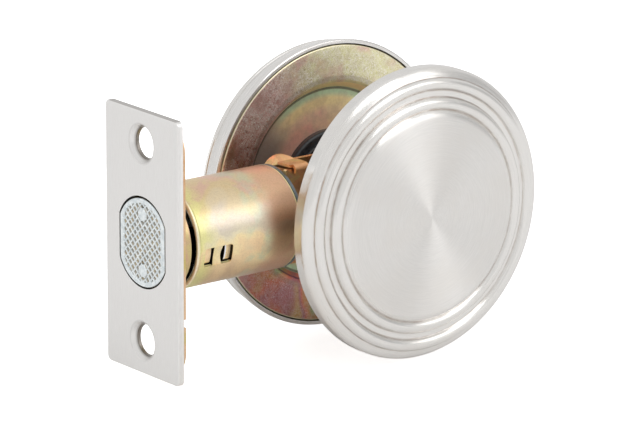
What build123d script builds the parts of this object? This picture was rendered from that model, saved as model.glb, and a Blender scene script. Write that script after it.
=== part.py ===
from build123d import *
import os
import math

# Tubular deadbolt, one-sided: a blank cover plate on the street side, a rose with
# a thumbturn on the room side.  Millimetres, +Z up.
# Origin: on the bolt's centre line, at the front face of the faceplate.
# +X runs into the door (the bolt is thrown towards -X).
# -Y is the street side (blank cover), +Y the room side (rose and thumbturn).

# ------------------------------------------------------------ driving dimensions
BACKSET = 60.3            # faceplate front to spindle axis
THROW = 25.4              # bolt travel
CRANK_R = THROW / math.sqrt(2.0)   # crank swings from +45 to +135 degrees

PLATE_W, PLATE_H, PLATE_T = 25.4, 57.15, 1.5
PLATE_CORNER = 1.2
SCREW_PITCH = 42.86       # 1-11/16 in between the faceplate screws
SCREW_HOLE_R, SCREW_CSK_R, CSK_DEPTH = 3.3, 4.5, 1.2
DIMPLE_R, DIMPLE_X1 = 4.25, 1.95      # the pressed countersink stands out behind the plate

BACK_W, BACK_H, BACK_T, BACK_CORNER = 24.6, 55.4, 0.8, 6.35

BOLT_W, BOLT_ARC_R, BOLT_ARC_OFF = 15.5, 8.6, 1.0      # double-D section, 19.2 tall
BOLT_X0, BOLT_X1 = 0.0, 32.8                           # retracted, flush with the faceplate
OPEN_W, OPEN_ARC_R = 16.3, 8.97

COLLAR_R, COLLAR_BORE, COLLAR_X1 = 10.7, 10.05, 5.3
TUBE_R, TUBE_BORE, TUBE_X0, TUBE_X1 = 11.2, 10.2, 6.2, 33.5
CAP_X1 = 34.2

CARR_IN, CARR_OUT = 4.0, 5.0        # carrier plates between these distances from Y=0
POST_DX = 16.6                      # through-screw posts, each side of the spindle
POST_R, POST_BORE = 3.0, 2.0

COVER_R, COVER_Y0, COVER_FACE = 31.93, 15.05, 22.0
ROSE_R, ROSE_Y0, ROSE_FACE = 31.85, 12.94, 21.7
RING_Y0 = ROSE_FACE - 2.4  # retaining ring in the shaft, then the washer, then the rose
SHELL_T = 0.9
CROWN = 0.35               # the flat-looking centres are slightly domed

os.makedirs("parts", exist_ok=True)


# ------------------------------------------------------------ helpers
def cyl_x(r, x0, x1, y=0.0, z=0.0):
    """Cylinder along X."""
    return Pos((x0 + x1) / 2, y, z) * Rot(0, 90, 0) * Cylinder(r, x1 - x0)


def cyl_y(r, y0, y1, x=BACKSET, z=0.0):
    """Cylinder along Y."""
    return Pos(x, (y0 + y1) / 2, z) * Rot(90, 0, 0) * Cylinder(r, y1 - y0)


def box(x0, x1, y0, y1, z0, z1):
    return Pos((x0 + x1) / 2, (y0 + y1) / 2, (z0 + z1) / 2) * Box(x1 - x0, y1 - y0, z1 - z0)


def double_d(width, arc_r, arc_off, x0, x1):
    """Bar along X with two flats at +-width/2 and rounded top and bottom."""
    hw = width / 2
    zc = arc_off + math.sqrt(arc_r ** 2 - hw ** 2)
    top = arc_off + arc_r
    p = [(-hw, -zc), (hw, -zc), (hw, zc), (-hw, zc)]
    wire = Wire([
        Edge.make_line(p[1], p[2]),
        Edge.make_three_point_arc(p[2], (0, top), p[3]),
        Edge.make_line(p[3], p[0]),
        Edge.make_three_point_arc(p[0], (0, -top), p[1]),
    ])
    # local x is world Y, local y is world Z, extruded along +X
    pl = Plane(origin=(x0, 0, 0), x_dir=(0, 1, 0), z_dir=(1, 0, 0))
    return extrude(pl * Face(wire), x1 - x0)


def prism_y(outline, y0, y1):
    """Closed outline of (x, z) points, extruded from y0 to y1."""
    pts = [Vector(x, y0, z) for x, z in outline]
    f = Face(Wire.make_polygon(pts, close=True))
    return Solid.extrude(f, Vector(0, y1 - y0, 0))


def slot_y(x0, z0, x1, z1, r, y0, y1):
    """Round-ended link between two points of the XZ plane, extruded along Y."""
    ang = math.atan2(z1 - z0, x1 - x0)
    nx, nz = -math.sin(ang) * r, math.cos(ang) * r
    body = prism_y([(x0 + nx, z0 + nz), (x0 - nx, z0 - nz), (x1 - nx, z1 - nz), (x1 + nx, z1 + nz)], y0, y1)
    return body + cyl_y(r, y0, y1, x0, z0) + cyl_y(r, y0, y1, x1, z1)


def turned(edges):
    """Revolve a closed profile about the spindle axis.  Each edge is a list of two
    points (line) or three points (arc); a point is (radius, y)."""
    out = []
    for e in edges:
        v = [Vector(BACKSET + r, y, 0) for r, y in e]
        out.append(Edge.make_line(v[0], v[1]) if len(v) == 2 else Edge.make_three_point_arc(*v))
    face = Face(Wire(out))
    return revolve(face, Axis((BACKSET, 0, 0), (0, 1, 0)), 360)


def save(name, shape):
    """One STEP per named piece; groups keep their separate solids."""
    solids = list(shape.solids())
    obj = solids[0] if len(solids) == 1 else Compound(children=solids)
    obj.label = name
    export_step(obj, f"parts/{name}.step")
    print(name, len(solids), round(sum(s.volume for s in solids), 1))


# ------------------------------------------------------------ front: faceplate group
opening = Pos(0, -0.1, 0.1) * double_d(OPEN_W, OPEN_ARC_R, BOLT_ARC_OFF, -1, 4)

faceplate = box(0, PLATE_T, -PLATE_W / 2, PLATE_W / 2, -PLATE_H / 2, PLATE_H / 2)
faceplate = fillet(faceplate.edges().filter_by(Axis.X), PLATE_CORNER)
faceplate = fillet(faceplate.faces().sort_by(Axis.X)[0].edges(), 0.32)
faceplate = faceplate - opening
for s in (-1, 1):
    z = s * SCREW_PITCH / 2
    faceplate = faceplate + cyl_x(DIMPLE_R, PLATE_T / 2, DIMPLE_X1, 0, z)
    faceplate = faceplate - cyl_x(SCREW_HOLE_R, -1, 3, 0, z)
    # the bottom radius of the cone faces +X, so the wide end is at the front
    cone = Pos(CSK_DEPTH / 2, 0, z) * Rot(0, 90, 0) * Cone(SCREW_CSK_R, SCREW_HOLE_R, CSK_DEPTH)
    faceplate = faceplate - cone
save("faceplate", faceplate)

b0, b1 = PLATE_T, PLATE_T + BACK_T
backing = box(b0, b1, -BACK_W / 2, BACK_W / 2, -BACK_H / 2, BACK_H / 2)
backing = fillet(backing.edges().filter_by(Axis.X), BACK_CORNER)
backing = backing - cyl_x(10.35, 0, 4)
for s in (-1, 1):
    backing = backing - cyl_x(4.6, 0, 4, 0, s * SCREW_PITCH / 2)
    # locating notch, low on the street edge and high on the room edge
    backing = backing - box(0, 4, s * 12.9 if s < 0 else 11.6, -11.6 if s < 0 else 12.9, s * 15.1 - 0.9, s * 15.1 + 0.9)
save("backing_plate", backing)

collar = cyl_x(COLLAR_R, b1, COLLAR_X1) + cyl_x(10.35, b0, b1)
collar = collar - cyl_x(COLLAR_BORE, 0, 7)
collar = chamfer(collar.edges().filter_by(GeomType.CIRCLE).sort_by(Axis.X)[-2:].sort_by(SortBy.RADIUS)[-1:], 0.3)
save("neck_collar", collar)

# ------------------------------------------------------------ tube with lanced windows
tube = cyl_x(TUBE_R, TUBE_X0, TUBE_X1)
tube = fillet(tube.edges().filter_by(GeomType.CIRCLE).sort_by(Axis.X)[0:1], 0.75)
tube = tube - cyl_x(TUBE_BORE, TUBE_X0 - 1, TUBE_X1 + 1)
# notches for the end cap's lugs
for s in (-1, 1):
    tube = tube - box(TUBE_X1 - 1.6, TUBE_X1 + 1, -2, 2, min(s * 9, s * 12), max(s * 9, s * 12))


def wedge(x0, x1, a0, a1, r0, r1):
    """Angular patch about X.  Angles in degrees from -Y towards +Z."""
    def pt(r, a):
        t = math.radians(a)
        return (-r * math.cos(t), r * math.sin(t))
    am = (a0 + a1) / 2
    w = Wire([
        Edge.make_three_point_arc(pt(r1, a0), pt(r1, am), pt(r1, a1)),
        Edge.make_line(pt(r1, a1), pt(r0, a1)),
        Edge.make_three_point_arc(pt(r0, a1), pt(r0, am), pt(r0, a0)),
        Edge.make_line(pt(r0, a0), pt(r1, a0)),
    ])
    pl = Plane(origin=(x0, 0, 0), x_dir=(0, 1, 0), z_dir=(1, 0, 0))
    return Solid.extrude(pl * Face(w), Vector(x1 - x0, 0, 0))


def lanced_bridge(x0, x1, a0, a1, depth):
    """Strip between the two windows, pressed inwards in its middle."""
    def pt(r, a):
        t = math.radians(a)
        return (-r * math.cos(t), r * math.sin(t))
    am = (a0 + a1) / 2
    w = Wire([
        Edge.make_three_point_arc(pt(TUBE_R, a0), pt(TUBE_R - depth, am), pt(TUBE_R, a1)),
        Edge.make_line(pt(TUBE_R, a1), pt(TUBE_BORE, a1)),
        Edge.make_three_point_arc(pt(TUBE_BORE, a1), pt(TUBE_BORE - depth, am), pt(TUBE_BORE, a0)),
        Edge.make_line(pt(TUBE_BORE, a0), pt(TUBE_R, a0)),
    ])
    pl = Plane(origin=(x0, 0, 0), x_dir=(0, 1, 0), z_dir=(1, 0, 0))
    return Solid.extrude(pl * Face(w), Vector(x1 - x0, 0, 0))


WIN_A0, WIN_A1 = -24.0, -1.5
windows = wedge(8.3, 15.55, WIN_A0, WIN_A1, TUBE_BORE - 1.5, TUBE_R + 1)
bridge = lanced_bridge(10.75, 13.2, WIN_A0, WIN_A1, 0.75)
half_turn = Rot(180, 0, 0)
tube = tube - windows - (half_turn * windows)
tube = tube + bridge + (half_turn * bridge)
save("bolt_tube", tube)

# guide cheeks: two liners beside the bolt's flats, locked by the pressed bridges
cheeks = (cyl_x(COLLAR_BORE, 2.6, 5.1) + cyl_x(8.9, 5.1, 7.4) + cyl_x(TUBE_BORE, 7.4, 26.0))
cheeks = cheeks - box(0, 40, -7.92, 7.92, -12, 12)
slot_n = box(10.5, 13.9, -12, -8.9, -8, 3)
cheeks = cheeks - slot_n - (half_turn * slot_n)
save("guide_cheeks", cheeks)

# ------------------------------------------------------------ end cap and carrier plates
cap = cyl_x(TUBE_R, TUBE_X1, CAP_X1)
for s in (-1, 1):
    lug = box(TUBE_X1 - 1.6, TUBE_X1, -2, 2, min(s * 9, s * 12), max(s * 9, s * 12)) & (cyl_x(TUBE_R, 30, 34) - cyl_x(TUBE_BORE, 30, 34))
    cap = cap + lug
cap = cap - box(32, 36, -2.2, 0.2, 4.3, 10.0)            # opening for the tail
tongues = []
for s in (-1, 1):
    for z0 in (-7.5, 3.5):
        y0, y1 = (CARR_IN, CARR_OUT) if s > 0 else (-CARR_OUT, -CARR_IN)
        cap = cap - box(TUBE_X1 - 1, CAP_X1 + 1, y0, y1, z0, z0 + 4)
save("tube_end_cap", cap)


def carrier(y0, y1, top_front, top_rear, bottom):
    """Side plate: square front with two tongues, rounded rear end."""
    rr = 10.4
    xc = 71.6
    pts = [(CAP_X1, bottom), (CAP_X1, top_front), (47.5, top_front), (50.5, top_rear), (xc, top_rear)]
    plate = prism_y(pts + [(xc, -top_rear), (50.5, -top_rear), (47.5, bottom)], y0, y1)
    plate = plate + cyl_y(top_rear, y0, y1, xc, 0)
    for z0 in (-7.5, 3.5):
        plate = plate + box(TUBE_X1, CAP_X1, y0, y1, z0, z0 + 4)
    for dx in (-POST_DX, POST_DX):
        plate = plate - cyl_y(POST_R, y0 - 1, y1 + 1, BACKSET + dx, 0)
    for x, z in SPACERS:
        plate = plate - cyl_y(1.5, y0 - 1, y1 + 1, x, z)
    return plate


SPACERS = [(39.4, -7.4), (69.5, -8.0)]
HUB_NEAR_R, HUB_FAR_R = 4.2, 5.2

near = carrier(-CARR_OUT, -CARR_IN, 11.1, 10.4, -9.75)
near = near - cyl_y(HUB_NEAR_R + 0.06, -8, 0)
# short flange turned in over the bolt's tail, and a sheared front corner
flange = [(CAP_X1, -CARR_IN - 0.2), (35.9, -CARR_IN - 0.2), (34.95, 0.0), (34.5, 3.0), (CAP_X1, 3.0)]
flange = Face(Wire.make_polygon([Vector(x, y, 10.25) for x, y in flange], close=True))
near = near + Solid.extrude(flange, Vector(0, 0, 0.45))
near = near - prism_y([(CAP_X1 - 0.1, 10.75), (CAP_X1 - 0.1, 11.3), (34.75, 11.3)], -6, -3)
save("carrier_plate_near", near)

far = carrier(CARR_IN, CARR_OUT, 10.1, 10.1, -9.75)
far = far - cyl_y(HUB_FAR_R + 0.06, 0, 8)
# domed ear pressed out of the plate's upper edge: its face leans back as it rises
pl = Plane(origin=(34.0, 0, 0), x_dir=(0, 1, 0), z_dir=(1, 0, 0))
lean = Wire([
    Edge.make_line((2.6, 9.8), (2.6, 10.1)),
    Edge.make_three_point_arc((2.6, 10.1), (3.35, 11.0), (4.6, 11.7)),
    Edge.make_line((4.6, 11.7), (CARR_OUT, 11.7)),
    Edge.make_line((CARR_OUT, 11.7), (CARR_OUT, 9.8)),
    Edge.make_line((CARR_OUT, 9.8), (2.6, 9.8)),
])
far = far + (cyl_y(4.6, 1, CARR_OUT, 39.6, 7.05) & Solid.extrude(pl * Face(lean), Vector(12, 0, 0)))
# tab carried over to the street-side plate by a low neck, its lip folded down outside it
T0, T1 = 11.4, 12.0
TAB_Y0, TAB_Y1 = -6.1, -1.2
BEND_R = 1.2
tab_plan = [(35.4, TAB_Y0 + BEND_R), (34.8, TAB_Y1), (39.9, TAB_Y1), (39.9, TAB_Y0 + BEND_R)]
tab_face = Face(Wire.make_polygon([Vector(x, y, T0) for x, y in tab_plan], close=True))
tab = Solid.extrude(tab_face, Vector(0, 0, T1 - T0))
zc, yc, k = T1 - BEND_R, TAB_Y0 + BEND_R, math.sqrt(0.5)
ri = BEND_R - (T1 - T0)
fold = Wire([
    Edge.make_line((yc, T1), (yc, T0)),
    Edge.make_three_point_arc((yc, T0), (yc - ri * k, zc + ri * k), (yc - ri, zc)),
    Edge.make_line((yc - ri, zc), (yc - ri, 10.2)),
    Edge.make_line((yc - ri, 10.2), (yc - BEND_R, 10.2)),
    Edge.make_line((yc - BEND_R, 10.2), (yc - BEND_R, zc)),
    Edge.make_three_point_arc((yc - BEND_R, zc), (yc - BEND_R * k, zc + BEND_R * k), (yc, T1)),
])
pl = Plane(origin=(36.0, 0, 0), x_dir=(0, 1, 0), z_dir=(1, 0, 0))
tab = tab + Solid.extrude(pl * Face(fold), Vector(3.7, 0, 0))
tab = tab + box(37.6, 39.9, TAB_Y1 - 0.7, TAB_Y1, 9.95, T1)
tab = tab + box(39.2, 41.0, TAB_Y1 - 0.7, CARR_IN + 0.2, 9.95, 10.4)
far = far + tab
save("carrier_plate_far", far)

spacers = None
for x, z in SPACERS:
    s = cyl_y(1.5, -CARR_OUT - 0.5, CARR_OUT + 0.5, x, z) + cyl_y(2.3, -CARR_IN, CARR_IN, x, z)
    s = s + cyl_y(2.3, CARR_OUT, CARR_OUT + 0.6, x, z) + cyl_y(2.3, -CARR_OUT - 0.6, -CARR_OUT, x, z)
    spacers = s if spacers is None else spacers + s
save("spacer_rivets", spacers)

# detent leaf: runs on both spacers and bears up under the crank hub
leaf_pts = [(36.6, -4.7), (42.0, -4.7), (53.5, -6.2), (66.0, -6.2), (67.6, -5.3), (72.5, -5.0),
            (72.5, -5.4), (67.6, -5.7), (66.0, -6.6), (53.5, -6.6), (42.0, -5.1), (36.6, -5.1)]
leaf = prism_y(leaf_pts, 0.5, 3.3)
save("detent_spring", leaf)

# ------------------------------------------------------------ bolt (retracted)
bolt = double_d(BOLT_W, BOLT_ARC_R, BOLT_ARC_OFF, BOLT_X0, BOLT_X1)
bolt = fillet(bolt.faces().sort_by(Axis.X)[0].edges(), 0.35)
bolt = chamfer(bolt.faces().sort_by(Axis.X)[-1].edges(), 0.4)
field = double_d(BOLT_W - 2.5, BOLT_ARC_R - 1.1, BOLT_ARC_OFF, BOLT_X0 - 1, BOLT_X0 + 0.35)
for s in (-1, 1):
    field = field - cyl_x(1.4, BOLT_X0 - 2, BOLT_X0 + 2, 0, s * 6.1)
bolt = bolt - field
PIN_R = 3.0
bolt = bolt - cyl_x(PIN_R + 0.05, 7.0, 40)
TAIL_Y0, TAIL_Y1 = -1.8, -0.2
bolt = bolt - box(23.8, 40, TAIL_Y0, TAIL_Y1, 4.7, 12)
RIVET_X, RIVET_Z = 28.0, 7.0
bolt = bolt - cyl_y(1.5, -12, 12, RIVET_X, RIVET_Z)
save("bolt", bolt)

save("hardened_pin", chamfer(cyl_x(PIN_R, 7.3, 31.5).edges(), 0.4))

# tail: strip riveted in the bolt, fork at the rear that the crank pin drives
FORK_X = BACKSET + THROW / 2
strip = box(23.8, FORK_X + 5.4, TAIL_Y0, TAIL_Y1, 4.7, 9.6)
fork = box(FORK_X - 5.4, FORK_X + 5.4, TAIL_Y0, TAIL_Y1, 4.7, 19.6)
fork = fillet(fork.edges().filter_by(Axis.Y).sort_by(Axis.Z)[-2:], 1.5)
tail = strip + fork
tail = tail - (box(FORK_X - 2.5, FORK_X + 2.5, -4, 2, 12.6, 30) + cyl_y(2.5, -4, 2, FORK_X, 12.6))
tail = tail - cyl_y(1.5, -4, 4, RIVET_X, RIVET_Z)
save("bolt_tail", tail)

# headless rivet, dressed flush with the bolt's rounded sides
rivet = cyl_y(1.5, -8.0, 8.0, RIVET_X, RIVET_Z) & double_d(BOLT_W, BOLT_ARC_R, BOLT_ARC_OFF, 24, 32)
save("tail_rivet", rivet)

# ------------------------------------------------------------ crank and spindle
BLADE_W, BLADE_T = 5.6, 2.4          # flat torque blade, tall in Z
hub = cyl_y(HUB_NEAR_R, -5.6, 0.3) + cyl_y(6.1, 0.2, 3.7) + cyl_y(HUB_FAR_R, 3.7, 5.6)
px, pz = BACKSET + THROW / 2, THROW / 2
hub = hub + slot_y(BACKSET, 0, px, pz, 3.1, 0.4, 3.4)
# detent flats, low at rest and after the quarter turn
hub = hub - box(BACKSET - 9, BACKSET + 9, -0.5, 4.0, -9, -5.75)
hub = hub - box(BACKSET - 9, BACKSET - 5.75, -0.5, 4.0, -9, 9)
hub = hub - box(BACKSET - BLADE_T / 2, BACKSET + BLADE_T / 2, -9, 9, -BLADE_W / 2, BLADE_W / 2)
hub = hub - cyl_y(1.75, -9, 9, px, pz)
save("crank_hub", hub)

pin = cyl_y(1.75, -2.9, 3.8, px, pz)
pin = chamfer(pin.edges().filter_by(GeomType.CIRCLE), 0.3)
save("crank_pin", pin)

blade = box(BACKSET - BLADE_T / 2, BACKSET + BLADE_T / 2, -6.6, 23.6, -BLADE_W / 2, BLADE_W / 2)
blade = chamfer(blade.faces().sort_by(Axis.Y)[0].edges(), 0.4)
save("tailpiece", blade)

# thumbturn: shaft through the rose, round collar, tapered grip
SHAFT_R = 6.0
grip_low = Plane(origin=(BACKSET, 25.0, 0), x_dir=(1, 0, 0), z_dir=(0, 1, 0)) * SlotOverall(27.0, 9.6, rotation=90)
grip_top = Plane(origin=(BACKSET, 40.3, 0), x_dir=(1, 0, 0), z_dir=(0, 1, 0)) * SlotOverall(29.6, 6.6, rotation=90)
grip = loft([grip_low.face(), grip_top.face()])
grip = fillet(grip.faces().sort_by(Axis.Y)[-1].edges(), 1.6)
base = cyl_y(9.2, ROSE_FACE + 0.3, 27.2)
base = fillet(base.edges().filter_by(GeomType.CIRCLE).sort_by(Axis.Y)[-1:], 1.2)
turn = base + grip + cyl_y(SHAFT_R, 17.6, 26)
turn = turn - (cyl_y(SHAFT_R + 1, RING_Y0, RING_Y0 + 0.9) - cyl_y(5.2, 18, 22))
turn = turn - box(BACKSET - BLADE_T / 2, BACKSET + BLADE_T / 2, 10, 23.6, -BLADE_W / 2, BLADE_W / 2)
save("thumbturn", turn)

ring = cyl_y(8.0, RING_Y0, RING_Y0 + 0.9) - cyl_y(5.2, 18, 22)
ring = ring - box(BACKSET - 2.4, BACKSET + 2.4, 18, 22, -12, 0)
save("retaining_ring", ring)

washer = cyl_y(9.3, RING_Y0 + 0.9, RING_Y0 + 1.3) - cyl_y(SHAFT_R, 18, 22)
save("spring_washer", washer)

# ------------------------------------------------------------ room side: plate, bushing, rose
M0 = ROSE_Y0 - 0.04        # ring face of the mounting plate
DISH = 15.0
BUSH_R = 10.9              # hole in the dish for the bushing
plate = turned([
    [(BUSH_R, DISH + 1.2), (BUSH_R, DISH)],
    [(BUSH_R, DISH), (20.9, DISH)],
    [(20.9, DISH), (22.4, M0 + 0.25)],
    [(22.4, M0 + 0.25), (22.72, M0 + 0.06), (23.1, M0)],
    [(23.1, M0), (30.35, M0)],
    [(30.35, M0), (30.56, M0 + 0.09), (30.65, M0 + 0.3)],
    [(30.65, M0 + 0.3), (30.65, 14.99)],          # meets the rose's tapered wall here
    [(30.65, 14.99), (29.45, 14.99)],
    [(29.45, 14.99), (29.45, M0 + 1.2)],
    [(29.45, M0 + 1.2), (23.3, M0 + 1.2)],
    [(23.3, M0 + 1.2), (21.6, DISH + 1.2)],
    [(21.6, DISH + 1.2), (BUSH_R, DISH + 1.2)],
])
for dx in (-POST_DX, POST_DX):
    plate = plate - cyl_y(2.2, 10, 20, BACKSET + dx, 0)
save("mounting_plate", plate)

bush = turned([
    [(3.9, 17.3), (3.9, 12.9)],
    [(3.9, 12.9), (6.0, 12.9)],
    [(6.0, 12.9), (6.0, 12.2)],
    [(6.0, 12.2), (8.0, 12.2)],
    [(8.0, 12.2), (8.0, 12.8)],
    [(8.0, 12.8), (9.1, 12.8)],
    [(9.1, 12.8), (9.5, 12.5), (9.9, 12.8)],
    [(9.9, 12.8), (9.9, 13.4)],
    [(9.9, 13.4), (11.0, 13.4)],
    [(11.0, 13.4), (11.5, 13.6), (11.7, 14.1)],
    [(11.7, 14.1), (11.7, DISH)],                 # flange seated on the dish
    [(11.7, DISH), (BUSH_R, DISH)],
    [(BUSH_R, DISH), (BUSH_R, 16.2)],
    [(BUSH_R, 16.2), (12.0, 16.2)],
    [(12.0, 16.2), (12.0, 17.3)],
    [(12.0, 17.3), (3.9, 17.3)],
])
save("spindle_bushing", bush)


def ringed_shell(R, y0, wall, face, hole, sgn, tshift):
    """Spun cover: straight or tapered side, a rounded rim, two raised rings and a flat
    centre.  `wall` lists the side from the door edge to the rim as (radius, y)."""
    k = tshift
    out = [
        [wall[-1], (30.75, 18.95 + k), (29.8, 19.25 + k)],           # rim
        [(29.8, 19.25 + k), (29.35, 20.12 + k), (28.5, 20.4 + k)],   # ring 2, outer half
        [(28.5, 20.4 + k), (27.65, 20.15 + k), (27.2, 19.6 + k)],    # ring 2, inner half
        [(27.2, 19.6 + k), (25.78, 19.72 + k)],                      # flat valley
        [(25.78, 19.72 + k), (25.35, 20.75 + k), (24.5, 21.12 + k)], # ring 1, outer half
        [(24.5, 21.12 + k), (23.65, 20.95 + k), (23.2, 20.45 + k)],  # ring 1, inner half
        [(23.2, 20.45 + k), (22.4, 21.25 + k), (20.9, face - CROWN)], # shoulder of the centre
    ]
    inner = [
        (20.6, face - SHELL_T - CROWN), (22.6, 20.05 + k), (23.4, 19.75 + k), (24.9, 20.1 + k),
        (25.3, 18.85 + k), (27.5, 18.75 + k), (28.6, 19.4 + k), (29.3, 18.45 + k), (30.2, 18.1 + k),
    ]
    seg = []
    rim_t = 0.25
    seg.append([(wall[0][0] - SHELL_T, y0), (wall[0][0] - rim_t, y0)])
    seg.append([(wall[0][0] - rim_t, y0), (wall[0][0], y0 + rim_t)])
    w2 = [(wall[0][0], y0 + rim_t)] + wall[1:]
    for a, b in zip(w2[:-1], w2[1:]):
        seg.append([a, b])
    seg += out
    if hole > 0:
        rh = 12.0
        seg.append([(20.9, face - CROWN), (16.5, face - 0.42 * CROWN), (rh, face)])
        seg.append([(rh, face), (hole, face)])
        seg.append([(hole, face), (hole, face - SHELL_T)])
        seg.append([(hole, face - SHELL_T), (rh, face - SHELL_T)])
        seg.append([(rh, face - SHELL_T), inner[0]])
    else:
        seg.append([(20.9, face - CROWN), (12.0, face - 0.31 * CROWN), (2.0, face)])
        seg.append([(2.0, face), (0, face)])
        seg.append([(0, face), (0, face - SHELL_T)])
        seg.append([(0, face - SHELL_T), (12.0, face - SHELL_T)])
        seg.append([(12.0, face - SHELL_T), inner[0]])
    for a, b in zip(inner[:-1], inner[1:]):
        seg.append([a, b])
    back = [inner[-1]] + [(r - SHELL_T, y) for r, y in reversed(wall[1:-1])] + [(wall[0][0] - SHELL_T, y0)]
    for a, b in zip(back[:-1], back[1:]):
        seg.append([a, b])
    if sgn < 0:
        seg = [[(r, -y) for r, y in e] for e in seg]
    return turned(seg)


rose_wall = [(ROSE_R, ROSE_Y0), (31.55, 15.0), (31.05, 16.6), (30.5, 17.85)]
rose = ringed_shell(ROSE_R, ROSE_Y0, rose_wall, ROSE_FACE, SHAFT_R + 0.1, 1, -0.3)
save("rose", rose)

screws = None
for dx in (-POST_DX, POST_DX):
    x = BACKSET + dx
    s = cyl_y(POST_BORE, -6.0, 16.3, x)
    head = cyl_y(3.5, DISH + 1.2, DISH + 3.3, x)
    head = fillet(head.edges().filter_by(GeomType.CIRCLE).sort_by(Axis.Y)[-1:], 0.9)
    s = s + head
    y0 = DISH + 2.1
    s = s - box(x - 1.9, x + 1.9, y0, 20, -0.45, 0.45) - box(x - 0.45, x + 0.45, y0, 20, -1.9, 1.9)
    screws = s if screws is None else screws + s
save("mounting_screws", screws)

# ------------------------------------------------------------ street side: blank cover, plate, posts
cover_wall = [(COVER_R, COVER_Y0), (COVER_R, 17.75), (31.62, 18.3)]
cover = ringed_shell(COVER_R, COVER_Y0, cover_wall, COVER_FACE, 0, -1, 0.0)
save("cover_plate", cover)

C0 = COVER_Y0 + 0.05
cr = COVER_R - SHELL_T
cplate = turned([[(r, -y) for r, y in e] for e in [
    [(0, C0 + 3.2), (0, C0 + 2.0)],
    [(0, C0 + 2.0), (20.9, C0 + 2.0)],
    [(20.9, C0 + 2.0), (22.4, C0 + 0.25)],
    [(22.4, C0 + 0.25), (23.1, C0)],
    [(23.1, C0), (cr - 0.5, C0)],
    [(cr - 0.5, C0), (cr, C0 + 0.5)],
    [(cr, C0 + 0.5), (cr, C0 + 2.3)],
    [(cr, C0 + 2.3), (cr - 1.1, C0 + 2.3)],
    [(cr - 1.1, C0 + 2.3), (cr - 1.1, C0 + 1.2)],
    [(cr - 1.1, C0 + 1.2), (23.3, C0 + 1.2)],
    [(23.3, C0 + 1.2), (21.6, C0 + 3.2)],
    [(21.6, C0 + 3.2), (0, C0 + 3.2)],
]])
posts = None
for dx in (-POST_DX, POST_DX):
    x = BACKSET + dx
    cplate = cplate - cyl_y(2.6, -20, -10, x)
    p = cyl_y(POST_R, -(C0 + 2.0), 8.0, x) + cyl_y(4.2, -(C0 + 2.0), -(C0 + 1.0), x)
    p = p + cyl_y(2.6, -(C0 + 3.2), -(C0 + 2.0), x) + cyl_y(3.4, -(C0 + 3.8), -(C0 + 3.2), x)
    p = p - cyl_y(POST_BORE, -6.0, 9, x)
    posts = p if posts is None else posts + p
save("cover_mount_plate", cplate)
save("cover_posts", posts)
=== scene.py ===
import bpy
import math
import numpy as np
from mathutils import Vector, Matrix
from mathutils.geometry import tessellate_polygon


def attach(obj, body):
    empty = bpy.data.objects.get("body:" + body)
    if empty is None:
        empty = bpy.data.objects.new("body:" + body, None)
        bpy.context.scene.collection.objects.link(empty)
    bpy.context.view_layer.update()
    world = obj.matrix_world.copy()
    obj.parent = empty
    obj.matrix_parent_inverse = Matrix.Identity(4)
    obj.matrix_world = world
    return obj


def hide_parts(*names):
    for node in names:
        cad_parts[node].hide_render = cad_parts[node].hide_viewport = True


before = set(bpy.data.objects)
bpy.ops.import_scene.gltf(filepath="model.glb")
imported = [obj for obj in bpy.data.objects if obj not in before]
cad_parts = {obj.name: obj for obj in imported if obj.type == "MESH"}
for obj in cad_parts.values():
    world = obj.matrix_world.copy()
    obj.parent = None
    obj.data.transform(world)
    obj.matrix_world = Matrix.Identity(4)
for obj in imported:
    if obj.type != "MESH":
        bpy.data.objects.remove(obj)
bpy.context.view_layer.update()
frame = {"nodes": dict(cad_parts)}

MM = 0.001
BX = 60.3            # spindle axis, mm
scene = bpy.context.scene


# ------------------------------------------------------------------ mesh helpers
def obj_from(name, verts, faces, normals=None, uvs=None):
    """Mesh object from millimetre vertices, with per-vertex normals and UVs."""
    v = np.asarray(verts, float)
    f = [list(x) for x in faces]
    if normals is not None:
        nn = np.asarray(normals, float)
        nn /= np.maximum(np.linalg.norm(nn, axis=1, keepdims=True), 1e-9)
        for i, q in enumerate(f):
            a, b, c = v[q[0]], v[q[1]], v[q[2]]
            g = np.cross(b - a, c - a)
            if len(q) == 4:
                g = g + np.cross(c - a, v[q[3]] - a)
            if np.dot(g, nn[q].sum(0)) < 0:
                f[i] = q[::-1]
    me = bpy.data.meshes.new(name)
    me.from_pydata((v * MM).tolist(), [], f)
    me.update()
    me.polygons.foreach_set("use_smooth", [True] * len(me.polygons))
    if uvs is not None:
        uv = np.asarray(uvs, np.float32)
        layer = me.uv_layers.new(name="UVMap")
        idx = np.zeros(len(me.loops), np.int32)
        me.loops.foreach_get("vertex_index", idx)
        layer.data.foreach_set("uv", uv[idx].ravel())
    if normals is not None:
        me.normals_split_custom_set_from_vertices(nn.tolist())
    o = bpy.data.objects.new(name, me)
    scene.collection.objects.link(o)
    return o


def arc3(a, b, c, n=14):
    """Points on the circle through a, b, c, from a to c."""
    ax, ay = a
    bx, by = b
    cx, cy = c
    d = 2 * (ax * (by - cy) + bx * (cy - ay) + cx * (ay - by))
    ux = ((ax * ax + ay * ay) * (by - cy) + (bx * bx + by * by) * (cy - ay) + (cx * cx + cy * cy) * (ay - by)) / d
    uy = ((ax * ax + ay * ay) * (cx - bx) + (bx * bx + by * by) * (ax - cx) + (cx * cx + cy * cy) * (bx - ax)) / d
    r = math.hypot(ax - ux, ay - uy)
    t0, t1, t2 = (math.atan2(p[1] - uy, p[0] - ux) for p in (a, b, c))
    ccw = (t1 - t0) % (2 * math.pi) < (t2 - t0) % (2 * math.pi)
    if ccw:
        span = (t2 - t0) % (2 * math.pi)
    else:
        span = -((t0 - t2) % (2 * math.pi))
    return [(ux + r * math.cos(t0 + span * k / n), uy + r * math.sin(t0 + span * k / n)) for k in range(n + 1)]


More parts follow.
